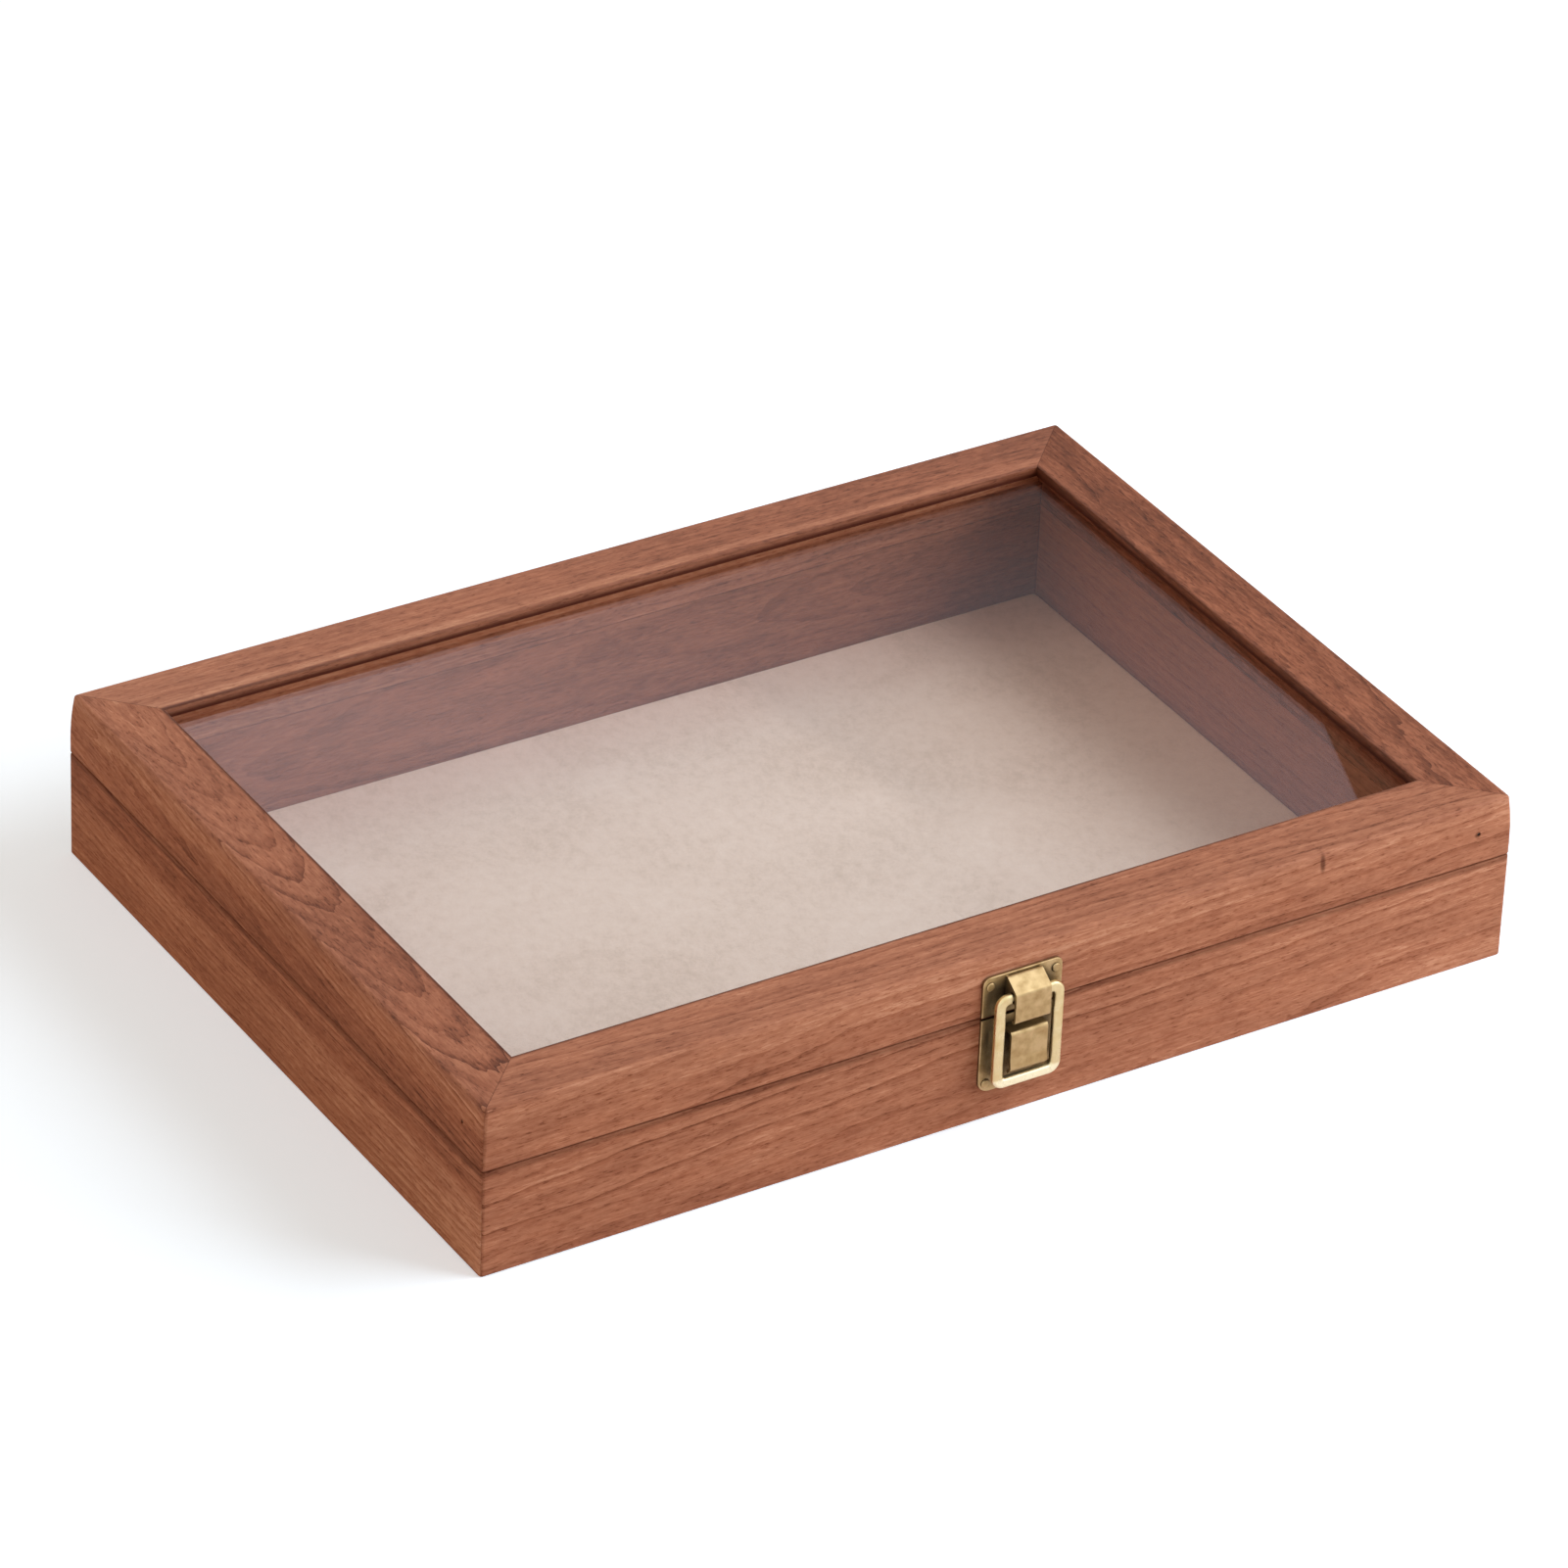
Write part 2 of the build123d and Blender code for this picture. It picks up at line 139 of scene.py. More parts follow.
def add(tree, kind, inputs=None, **settings):
    """Add one node, with its settings, and give its inputs values or links."""
    node = tree.nodes.new("ShaderNode" + kind)
    for name, value in settings.items():
        setattr(node, name, value)
    for name, value in (inputs or {}).items():
        if isinstance(value, bpy.types.NodeSocket):
            tree.links.new(value, node.inputs[name])
        else:
            node.inputs[name].default_value = value
    return node


def sums(tree, operation, *values):
    """One Math node over values and sockets, as a socket."""
    return add(tree, "Math", dict(enumerate(values)), operation=operation).outputs[0]


def fade(tree, value, start, end, low=0.0, high=1.0):
    """Map value from start..end to low..high, held at both ends."""
    settings = {"Value": value, "From Min": start, "From Max": end, "To Min": low, "To Max": high}
    return add(tree, "MapRange", settings, clamp=True).outputs[0]


def ramp(tree, value, stops):
    """A colour for each value, from (position, colour) pairs."""
    node = add(tree, "ValToRGB", {"Fac": value})
    while len(node.color_ramp.elements) < len(stops):
        node.color_ramp.elements.new(1.0)
    for element, (position, colour) in zip(node.color_ramp.elements, stops):
        element.position = position
        element.color = colour
    return node.outputs[0]


def blend(tree, factor, first, second, how="MIX"):
    """Two colours mixed, as a socket."""
    node = add(tree, "Mix", {0: factor, 6: first, 7: second}, data_type="RGBA", blend_type=how)
    return node.outputs[2]


# %% [markdown]
# A place is measured in the object's own space, so that a pattern stays on its piece when the lid opens.
# Patterns follow the real size of things, because a place in millimetres is divided by the width of one wave.

# %% Helpers for places and patterns


def here(tree):
    """Where a point of the surface lies, in metres from the middle of the underside."""
    return add(tree, "TexCoord").outputs["Object"]


def placed(tree):
    """The three coordinates of a place, in millimetres from the middle of the underside."""
    place = add(tree, "VectorMath", {0: here(tree), 3: 1 / MM}, operation="SCALE")
    return add(tree, "SeparateXYZ", {0: place.outputs[0]}).outputs


def magnified(tree, scale):
    """A place times one number, so that a pattern has this many waves to the metre."""
    return add(tree, "Mapping", {"Vector": here(tree), "Scale": (scale,) * 3}).outputs[0]


def stretched(tree, place, across, up, along):
    """Scale a place in millimetres, so that a pattern is this many millimetres wide each way."""
    scale = (1 / across, 1 / up, 1 / along)
    return add(tree, "VectorMath", {0: place, 1: scale}, operation="MULTIPLY").outputs[0]


def cloudy(tree, place, detail=2.0, roughness=0.5, distortion=0.0):
    """Soft noise from 0 to 1 at a place, one wave to each unit."""
    settings = {"Vector": place, "Scale": 1.0, "Detail": detail, "Roughness": roughness}
    settings["Distortion"] = distortion
    return add(tree, "TexNoise", settings).outputs[0]


# %% [markdown]
# Some rays only gather light, others look at things. A material can tell them apart, which lets the ground
# look white without lighting the case, and lets light through the glass without slow sparkles.

# %% Helpers for rays and whole materials


def any_ray(tree, first_kind, *other_kinds):
    """1 for rays of these kinds, 0 for all others."""
    path = add(tree, "LightPath").outputs
    found = path[first_kind]
    for kind in other_kinds:
        found = sums(tree, "MAXIMUM", found, path[kind])
    return found


def new_material(name):
    """An empty material, and its node tree."""
    material = bpy.data.materials.new(name)
    material.use_nodes = True
    material.node_tree.nodes.clear()
    return material, material.node_tree


def finish_material(tree, surface):
    """Join the shader to the material's output."""
    add(tree, "OutputMaterial", {"Surface": surface})


def wear(material, *names):
    """Give this finish to solid parts."""
    for name in names:
        for slot in nodes[name].material_slots:
            slot.material = material
    print(material.name, "on", ", ".join(names))


# %% [markdown]
# ## The floor and the white room
# The photograph has a plain white ground. The floor is a pale sheet that keeps the case's shadow, and the
# room round it is white to the camera and to anything that mirrors it or looks through the glass. As light
# it is weaker, so that colours come out as they are written.

# %% Make the room
room_light = 0.36
room_tint = (1.0, 0.82, 0.66, 1.0)
room_white = (1.0, 1.0, 1.0, 1.0)
room = bpy.data.worlds.new("white_room")
room.use_nodes = True
room_tree = room.node_tree
room_tree.nodes.clear()
as_light = add(room_tree, "Background", {"Color": room_tint, "Strength": room_light}).outputs[0]
as_seen = add(room_tree, "Background", {"Color": room_white, "Strength": 1.0}).outputs[0]
looking = any_ray(room_tree, "Is Camera Ray", "Is Glossy Ray", "Is Transmission Ray")
room_mix = add(room_tree, "MixShader", {0: looking, 1: as_light, 2: as_seen})
add(room_tree, "OutputWorld", {"Surface": room_mix.outputs[0]})
bpy.context.scene.world = room
print("room light", room_light)

# %% [markdown]
# The floor's colour and its faint glow are for eyes only. What it throws back at the case as light is a plain
# pale colour, so the ground can be as white as in the photograph without brightening the wood.

# %% Make the floor
floor_size = 12.0
floor_lift = 0.40
floor_glow = (0.9, 1.0, 1.08, 1.0)
paper_light = (0.86, 0.93, 0.99, 1.0)
paper_shade = (0.83, 0.90, 0.96, 1.0)
paper_as_light = (0.90, 0.85, 0.83, 1.0)
paper_mottle = 0.02
corner_signs = ((-1, -1), (1, -1), (1, 1), (-1, 1))

floor_material, tree = new_material("pale_floor")
mottle = sums(tree, "MULTIPLY", cloudy(tree, here(tree), detail=4.0), paper_mottle)
looking = any_ray(tree, "Is Camera Ray", "Is Transmission Ray")
paper_colour = ramp(tree, mottle, [(0.0, paper_light), (1.0, paper_shade)])
paper_colour = blend(tree, looking, paper_as_light, paper_colour)
paper = {
    "Base Color": paper_colour,
    "Roughness": 0.9,
    "Specular IOR Level": 0.1,
    "Emission Color": floor_glow,
    "Emission Strength": sums(tree, "MULTIPLY", looking, floor_lift),
}
finish_material(tree, add(tree, "BsdfPrincipled", paper).outputs[0])


def flat_sheet(name, corners, material):
    """A stage sheet through its corners."""
    mesh = bpy.data.meshes.new(name)
    mesh.from_pydata([tuple(c) for c in corners], [], [tuple(range(len(corners)))])
    mesh.materials.append(material)
    sheet = bpy.data.objects.new(name, mesh)
    bpy.context.scene.collection.objects.link(sheet)
    return sheet


half_floor = floor_size / 2
floor_corners = [Vector((x * half_floor, y * half_floor, cad_low.z)) for x, y in corner_signs]
flat_sheet("floor", floor_corners, floor_material)
print("floor", floor_size, "m wide")

# %% [markdown]
# ## The lamps
# One large soft lamp stands to the right and a little in front. The lining is bright at the left and fades
# over the last 100 mm before the right wall, so the light comes over that wall from a wide sheet. The lining
# also darkens a little towards the back wall, so a weaker sheet stands behind. A sun would give hard edges
# there, and an even room none at all. The room adds the warm light that pale walls throw back.

# %% Hang the lamps
key_lamp = dict(azimuth=math.radians(58), elevation=math.radians(35), distance=1.7, width=1.4, level=1.02)
back_lamp = dict(azimuth=math.radians(-125), elevation=math.radians(38), distance=1.7, width=1.2, level=0.18)
key_tint = (1.0, 1.09, 1.19)
warm_tint = (1.0, 0.80, 0.62)


def softbox(name, tint, azimuth, elevation, distance, width, level):
    """A square area lamp; at level 1 it renders a white sheet that is turned towards it as white."""
    lamp = bpy.data.lights.new(name, "AREA")
    lamp.shape = "SQUARE"
    lamp.size = width
    lamp.color = tint
    lamp.energy = level * (math.pi * distance) ** 2
    holder = bpy.data.objects.new(name, lamp)
    centre = (cad_low + cad_high) / 2
    holder.matrix_world = aimed(centre + direction(azimuth, elevation) * distance, centre)
    bpy.context.scene.collection.objects.link(holder)
    print(name, round(lamp.energy, 1), "W")
    return holder


key_holder = softbox("key_lamp", key_tint, **key_lamp)
key_holder.visible_glossy = False
softbox("back_lamp", warm_tint, **back_lamp)

# %% [markdown]
# ## What the glass mirrors
# Glass at this angle mirrors a seventh of what stands behind the case. In the photograph that is a pale mauve
# wall, and it ends in a clean line across the front right corner of the pane, where the dark inside shows.
# The same thing is done here with cards behind the case. Their places are set on the pane, where they can be
# measured, and carried back along the mirrored line of sight.

# %% Find the mirrored line of sight
card_distance = 1.5
mirrored_camera = Vector((camera_place.x, camera_place.y, 2 * pane_top - camera_place.z))
card_normal = (Vector((0, 0, pane_top)) - mirrored_camera).normalized()
card_centre = Vector((0, 0, pane_top)) + card_normal * card_distance


def on_card(x, y, behind=0.0):
    """Where the mirrored line of sight through a point of the pane meets the card."""
    ray = Vector((x, y, pane_top)) - mirrored_camera
    plane = card_centre + card_normal * behind
    return mirrored_camera + ray * ((plane - mirrored_camera).dot(card_normal) / ray.dot(card_normal))


print("cards stand", card_distance, "m behind the pane")

# %% [markdown]
# The wall isn't even. Its image is a pale mauve at the front left of the pane and darkens towards the back
# right, so the card's colour changes along a line between two points of the pane.

# %% Make the cards' finish
change_from = Vector((-19.0, -16.0, 0.0)) * MM
change_to = Vector((123.0, 102.0, 0.0)) * MM
beside = Vector((100.0, -120.0, 0.0)) * MM
level_line = on_card(*(change_from + beside).xy) - on_card(*change_from.xy)
step = on_card(*change_to.xy) - on_card(*change_from.xy)
step -= level_line * (step.dot(level_line) / level_line.length_squared)
change_axis = step / step.length_squared
change_start = on_card(*change_from.xy).dot(change_axis)


def card_material(name, colours, glow=1.0):
    """A card that glows evenly, and changes colour across the pane that mirrors it."""
    material, tree = new_material(name)
    along_change = add(tree, "VectorMath", {0: here(tree), 1: change_axis}, operation="DOT_PRODUCT")
    share = fade(tree, along_change.outputs["Value"], change_start, change_start + 1.0)
    shade = ramp(tree, share, colours)
    finish_material(tree, add(tree, "Emission", {"Color": shade, "Strength": glow}).outputs[0])
    print("finish for", name)
    return material


mauve = (0.71, 0.69, 0.78, 1.0)
dim_mauve = (0.57, 0.49, 0.53, 1.0)
dusk = (0.25, 0.21, 0.21, 1.0)
dark_brown = (0.20, 0.125, 0.085, 1.0)
white = (1.0, 1.0, 1.0, 1.0)
lamp_glow = 2.1
pale_finish = card_material("pale_card", [(0.0, mauve), (0.46, dim_mauve), (1.0, dusk)])
dark_finish = card_material("dark_card", [(0.0, dark_brown), (1.0, dark_brown)])
lamp_finish = card_material("lamp_face", [(0.0, white), (1.0, white)], glow=lamp_glow)

# %% [markdown]
# The pale card ends along the line, and the dark one stands a little behind it and shows past the line. A
# third card stands in for the face of the large lamp, which would burn white spots into the brass. It glows
# just enough for a bright edge. The camera, the soft light and the shadows pass all three by.

# %% Stand the three cards
line_right = Vector((151.5, -58.7, 0.0)) * MM
line_left = Vector((138.0, -95.0, 0.0)) * MM
card_reach = 0.35
dark_start = -0.1
dark_behind = 0.05
lamp_gap = 0.02


def stand_in(name, corners, material):
    """Stand a card that only mirroring rays and rays through the glass see."""
    card = flat_sheet(name, corners, material)
    card.visible_camera = False
    card.visible_diffuse = False
    card.visible_shadow = False


past_line = (line_right - line_left).normalized() * card_reach
line_back = line_right + past_line
line_front = line_left - past_line
pale_corners = [(-card_reach, line_back.y), line_back.xy, line_front.xy, (-card_reach, line_front.y)]
dark_corners = [(dark_start, card_reach), (card_reach, card_reach)]
dark_corners += [(card_reach, -card_reach), (dark_start, -card_reach)]
lamp_half = key_lamp["width"] / 2
lamp_corners = [Vector((x * lamp_half, y * lamp_half, lamp_gap)) for x, y in corner_signs]
stand_in("pale_card", [on_card(x, y) for x, y in pale_corners], pale_finish)
stand_in("dark_card", [on_card(x, y, dark_behind) for x, y in dark_corners], dark_finish)
stand_in("lamp_face", [key_holder.matrix_world @ corner for corner in lamp_corners], lamp_finish)
print("three cards stand")

# %% [markdown]
# ## The wood
# Each side of the two frames is a board of its own, so each has its own place in its own tree. A flat picture
# of grain would break at every edge. Here the tree itself is drawn: rings round a heart line that runs almost
# along the board, bent by slow noise, with fine fibres and short pores on top. Every face then shows the cut
# that it really makes, straight where the heart is far away and arched where it is near.

# %% Draw the rings
along_x = "x"
along_y = "y"
bend_wave = (30.0, 30.0, 120.0)
quiver_wave = (2.6, 2.6, 7.0)


def board_space(tree, along, heart, tilt):
    """Millimetres in a board's own space: X across, Y up, Z along the grain, and the heart at the origin."""
    place = add(tree, "SeparateXYZ", {0: here(tree)}).outputs
    order = (place[1], place[2], place[0]) if along == along_x else (place[0], place[2], place[1])
    turned = add(tree, "CombineXYZ", dict(enumerate(order))).outputs[0]
    settings = {
        "Vector": turned,
        "Location": (-heart[0], -heart[1], heart[2]),
        "Rotation": tuple(math.radians(v) for v in (*tilt, 0.0)),
        "Scale": (1 / MM, 1 / MM, 1 / MM),
    }
    return add(tree, "Mapping", settings, vector_type="POINT").outputs[0]


def growth(tree, board, bend, quiver, ring_width):
    """How many rings lie between the heart and this place: bent slowly, and with a fine quiver."""
    slow = cloudy(tree, stretched(tree, board, *bend_wave), detail=3.0)
    quick = cloudy(tree, stretched(tree, board, *quiver_wave))
    shift = sums(tree, "MULTIPLY_ADD", slow, 2 * bend, -bend - quiver)
    shift = sums(tree, "MULTIPLY_ADD", quick, 2 * quiver, shift)
    flat = add(tree, "VectorMath", {0: board, 1: (1.0, 1.0, 0.0)}, operation="MULTIPLY").outputs[0]
    radius = add(tree, "VectorMath", {0: flat}, operation="LENGTH").outputs["Value"]
    return sums(tree, "DIVIDE", sums(tree, "ADD", radius, shift), ring_width)


def by_year(tree, rings, scale, detail, roughness):
    """Noise that changes from ring to ring, because no two years are alike."""
    settings = {"W": rings, "Scale": scale, "Detail": detail, "Roughness": roughness}
    return add(tree, "TexNoise", settings, noise_dimensions="1D").outputs[0]


def ring_tone(tree, rings):
    """Dark late wood at the end of each ring, strong in some years only, and the tone of the year itself."""
    late = sums(tree, "POWER", sums(tree, "FRACT", rings), 3.0)
    year = by_year(tree, rings, scale=0.45, detail=3.0, roughness=0.65)
    return sums(tree, "MULTIPLY", late, fade(tree, year, 0.35, 0.65)), fade(tree, year, 0.3, 0.7)


# %% [markdown]
# Fibres, threads, dashes and pores are the small marks of the wood, and patches and clouds the large ones.
# All are noise that is drawn out along the grain, and they differ in size and in how finely they break up.
# Of the pores' noise only the peaks are kept. The sizes are in millimetres: across, up and along.

# %% Draw the fibres
pattern_sizes = {
    "fibres": (1.0, 1.0, 34.0),
    "threads": (0.4, 0.4, 8.0),
    "dashes": (1.0, 1.0, 4.2),
    "patches": (3.5, 3.5, 11.0),
    "pores": (0.5, 0.5, 2.6),
    "clouds": (14.0, 14.0, 70.0),
}
finer_patterns = {"fibres": 4.0, "threads": 3.0, "dashes": 3.0}
finer_roughness = 0.6


def grain(tree, board):
    """The patterns that lie in every board, each from 0 to 1."""
    patterns = {}
    for name, size in pattern_sizes.items():
        place = stretched(tree, board, *size)
        if name in finer_patterns:
            patterns[name] = cloudy(tree, place, finer_patterns[name], finer_roughness)
        else:
            patterns[name] = cloudy(tree, place)
    patterns["pores"] = fade(tree, patterns["pores"], 0.58, 0.68)
    return patterns


# %% [markdown]
# Rings and patterns are added up to one number, the tone, and a ramp turns it into browns. Each share says
# how much a pattern counts. A board with low contrast is pulled towards its own middle tone.

# %% Add up the tone
middle_tone = 0.58
year_share = 0.16
late_share = -0.42
pore_share = -0.22
pattern_shares = {"fibres": 0.44, "threads": 0.36, "dashes": 0.56, "patches": 0.30, "clouds": 0.40}


def wood_tone(tree, patterns, late, year, lighter, figure, tone, contrast):
    """How light the wood is, about 0.58 in an average board; figure says how much the rings count."""
    shares = [(year, year_share * figure), (late, late_share * figure)]
    shares += [(patterns[name], share) for name, share in pattern_shares.items()]
    shares += [(patterns["pores"], pore_share), (lighter, 1.0)]
    total = middle_tone + tone + 0.06 * figure - sum(pattern_shares.values()) / 2
    for part, share in shares:
        total = sums(tree, "MULTIPLY_ADD", part, share, total)
    return sums(tree, "MULTIPLY_ADD", total, contrast, (1 - contrast) * (middle_tone + tone))


# %% [markdown]
# Thin dark lines draw the case wherever two pieces meet: down the mitres, along the seam between tray and
# lid, and round the lip where the glass lies. The mitres' glue line is the wood's own, the seam carries dirt
# and painted shade, and the lip's wall is painted shade. They could be found by tracing rays into the
# grooves, but the places are known, so each is a distance from a known plane.

# %% Measure from the joints
seam_middle = (wall_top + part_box("lid_front_rail")[0].z) / 2 / MM
window_x = (cad_high.x - (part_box("lid_left_rail")[1].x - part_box("lid_left_rail")[0].x)) / MM
window_y = window_x - mitre_offset / MM
glass_level = pane_top / MM
lid_top = cad_high.z / MM
outer_skin = 3.0


def beyond(tree, places, line_x, line_y):
    """How far a place lies outside a rectangle about the case's middle, in millimetres."""
    past_x = sums(tree, "SUBTRACT", sums(tree, "ABSOLUTE", places[0]), line_x)
    past_y = sums(tree, "SUBTRACT", sums(tree, "ABSOLUTE", places[1]), line_y)
    return sums(tree, "MAXIMUM", past_x, past_y)


def into_skin(tree, places):
    """How far a place lies into the outer 3 mm of the case."""
    return beyond(tree, places, cad_high.x / MM - outer_skin, wall_back / MM - outer_skin)


def past_window(tree, places):
    """How far a place lies outside the window of the lid."""
    return beyond(tree, places, window_x, window_y)


# %% [markdown]
# A mitre shows as a thin glue line, fainter where it comes round to the outer face. The seam's dirt and
# painted shade lie mostly on the tray's edge, a little below the gap. The lip's wall is painted dark down at
# the glass, as shade, and a fine dark line runs round the window on top, stronger on the near side.

# %% Dark lines where pieces meet
# One dark colour for glue lines, flecks and stains, the seam's dirt, and painted shade at the seam and lip.
dirt_and_shade = seen(70, 28, 15)
glue_line = 0.16
mitre_dark = 0.6
mitre_faint = 0.15
seam_dark = 0.44
seam_drop = 0.7
lip_dark = 0.95
lip_faint = 0.25
edge_near = 0.85
edge_far = 0.3


def mitre_shade(tree, places):
    """The glue line down each mitre."""
    across = sums(tree, "ABSOLUTE", places[0])
    down = sums(tree, "ABSOLUTE", places[1])
    uneven = sums(tree, "SUBTRACT", sums(tree, "SUBTRACT", across, down), mitre_offset / MM)
    line = fade(tree, sums(tree, "ABSOLUTE", uneven), 0.4 * glue_line, 1.8 * glue_line, 1.0, 0.0)
    outside = into_skin(tree, places)
    depth = fade(tree, outside, outer_skin - 1.6, outer_skin - 0.8, mitre_dark, mitre_faint)
    return sums(tree, "MULTIPLY", line, depth)


def seam_shade(tree, places):
    """Dirt and painted shade along the seam, only on the outside."""
    off_seam = sums(tree, "ABSOLUTE", sums(tree, "SUBTRACT", places[2], seam_middle - seam_drop))
    line = fade(tree, off_seam, 0.4, 1.8, seam_dark, 0.0)
    return sums(tree, "MULTIPLY", line, fade(tree, into_skin(tree, places), 0.0, 0.5))


def lip_shade(tree, places):
    """Painted shade on the lip's wall, darkest at the glass."""
    wall = fade(tree, past_window(tree, places), 0.15, 0.35, 1.0, 0.0)
    depth = fade(tree, places[2], glass_level + 0.8, glass_level + 2.2, lip_dark, lip_faint)
    return sums(tree, "MULTIPLY", wall, depth)


def edge_shade(tree, places):
    """The fine line round the window on the lid's top."""
    line = fade(tree, past_window(tree, places), 0.45, 1.3, 1.0, 0.0)
    line = sums(tree, "MULTIPLY", line, fade(tree, places[2], lid_top - 0.6, lid_top - 0.3))
    to_back_right = sums(tree, "ADD", places[0], places[1])
    return sums(tree, "MULTIPLY", line, fade(tree, to_back_right, -40.0, 60.0, edge_near, edge_far))


def joint_shade(tree, places):
    """How dark the joints are, with dirt and painted shade: the strongest of the four."""
    flat_lines = sums(tree, "MAXIMUM", mitre_shade(tree, places), seam_shade(tree, places))
    window_lines = sums(tree, "MAXIMUM", lip_shade(tree, places), edge_shade(tree, places))
    return sums(tree, "MAXIMUM", flat_lines, window_lines)


# %% [markdown]
# The lid's upper edges are painted paler, as a highlight, and here and there the wood has a fleck of its own.
# The tray's left wall is darker along its upper part, above a height that wavers.

# %% Edge highlights, flecks and a streak
streak_height = 24.5
streak_blur = 2.5
streak_waver = 4.0


def painted_edge_highlight(tree, places, outer_highlight, inner_highlight):
    """How much a painted highlight lightens the lid's upper edges, outside and round the window."""
    high_up = sums(tree, "MULTIPLY", fade(tree, places[2], lid_top - 10.0, lid_top - 7.5),
                   fade(tree, places[2], lid_top - 1.2, lid_top - 0.3, 1.0, 0.5))
    outer = sums(tree, "MULTIPLY", high_up, fade(tree, into_skin(tree, places), 0.2, 1.2, 0.0, outer_highlight))
    off_window = past_window(tree, places)
    inner = sums(tree, "MULTIPLY", fade(tree, off_window, 0.8, 1.6),
                 fade(tree, off_window, 3.2, 5.0, inner_highlight, 0.0))
    return sums(tree, "MAXIMUM", outer, inner)


def dark_spot(tree, places, where, reach):
    """A small dark fleck round a place, with its reach along each axis: how much of it shows."""
    parts = [sums(tree, "DIVIDE", sums(tree, "SUBTRACT", places[i], where[i]), reach[i]) for i in range(3)]
    offset = add(tree, "CombineXYZ", dict(enumerate(parts)))
    far = add(tree, "VectorMath", {0: offset.outputs[0]}, operation="LENGTH").outputs["Value"]
    return fade(tree, far, 0.4, 1.0, 0.7, 0.0)


def dark_streak(tree, places, clouds, depth):
    """A darker band above a height that wavers along the board."""
    height = sums(tree, "MULTIPLY_ADD", clouds, streak_waver, places[2])
    return fade(tree, height, streak_height, streak_height + streak_blur, 0.0, depth)


# %% [markdown]
# Now the board's finish can be put together. The satin lacquer is thin, so the pores stay open as a fine
# relief, and the lid's top is a little more polished than the rest.

# %% The wood finish
browns = [
    (0.0, seen(74, 39, 26)),
    (0.32, seen(128, 76, 54)),
    (0.55, seen(161, 103, 77)),
    (0.78, seen(183, 125, 96)),
    (1.0, seen(207, 155, 125)),
]
redder_tint = (1.0, 0.90, 0.84, 1.0)
pore_depth = 0.06


def wood(name, along, heart, tilt=(0.0, 0.0), bend=4.0, quiver=0.3, ring_width=2.6, figure=0.5,
         tone=0.0, drift=0.0, contrast=1.0, polish=0.25, spots=(), streak=0.0,
         outer_highlight=0.0, inner_highlight=0.0):
    """The finish of one board. Tone lightens it all and drift one end more, as wood tone and as painted
    light.
    """
    material, tree = new_material(name)
    board = board_space(tree, along, heart, tilt)
    places = placed(tree)
    patterns = grain(tree, board)
    late, year = ring_tone(tree, growth(tree, board, bend, quiver, ring_width))
    length = (cad_high.x - cad_low.x if along == along_x else cad_high.y - cad_low.y) / MM
    lighter = sums(tree, "MULTIPLY", places[0 if along == along_x else 1], drift / length)
    total = wood_tone(tree, patterns, late, year, lighter, figure, tone, contrast)
    if streak:
        total = sums(tree, "SUBTRACT", total, dark_streak(tree, places, patterns["clouds"], streak))
    # The lid's upper edges are painted paler, as a highlight.
    if outer_highlight:
        total = sums(tree, "ADD", total, painted_edge_highlight(tree, places, outer_highlight, inner_highlight))

    large_marks = sums(tree, "ADD", patterns["clouds"], patterns["patches"])
    redder = fade(tree, large_marks, 0.8, 1.3, 0.0, 0.6)
    colour = blend(tree, redder, ramp(tree, total, browns), redder_tint, "MULTIPLY")
    for where, reach in spots:
        colour = blend(tree, dark_spot(tree, places, where, reach), colour, dirt_and_shade)
    # Dark joint lines, with dirt and painted shade along the seam and painted shade on the lip's wall.
    colour = blend(tree, joint_shade(tree, places), colour, dirt_and_shade)

    raised = sums(tree, "MULTIPLY", patterns["threads"], 0.5)
    relief = sums(tree, "MULTIPLY_ADD", patterns["pores"], -0.8, raised)
    bump = add(tree, "Bump", {"Strength": 0.5, "Distance": pore_depth * MM, "Height": relief})
    lacquered = {
        "Base Color": colour,
        "Roughness": fade(tree, patterns["threads"], 0.3, 0.7, 0.5, 0.65),
        "Specular IOR Level": 0.08,
        "Normal": bump.outputs[0],
        "Coat Weight": fade(tree, places[2], lid_top - 3.0, lid_top - 0.3, 0.0, polish),
        "Coat Roughness": 0.4,
    }
    finish_material(tree, add(tree, "BsdfPrincipled", lacquered).outputs[0])
    return material


# %% [markdown]
# Eight boards follow. The heart is given across and up in millimetres from the middle of the underside, and
# a third number slides the board along its tree. The lid's left rail lies close over its heart, so it shows
# arches, and the tray's back wall shows a few. The others were cut further out and run straighter. The lid's
# front rail has two marks near its right end: a fleck in the wood, and a stain round the brad of the mitre.

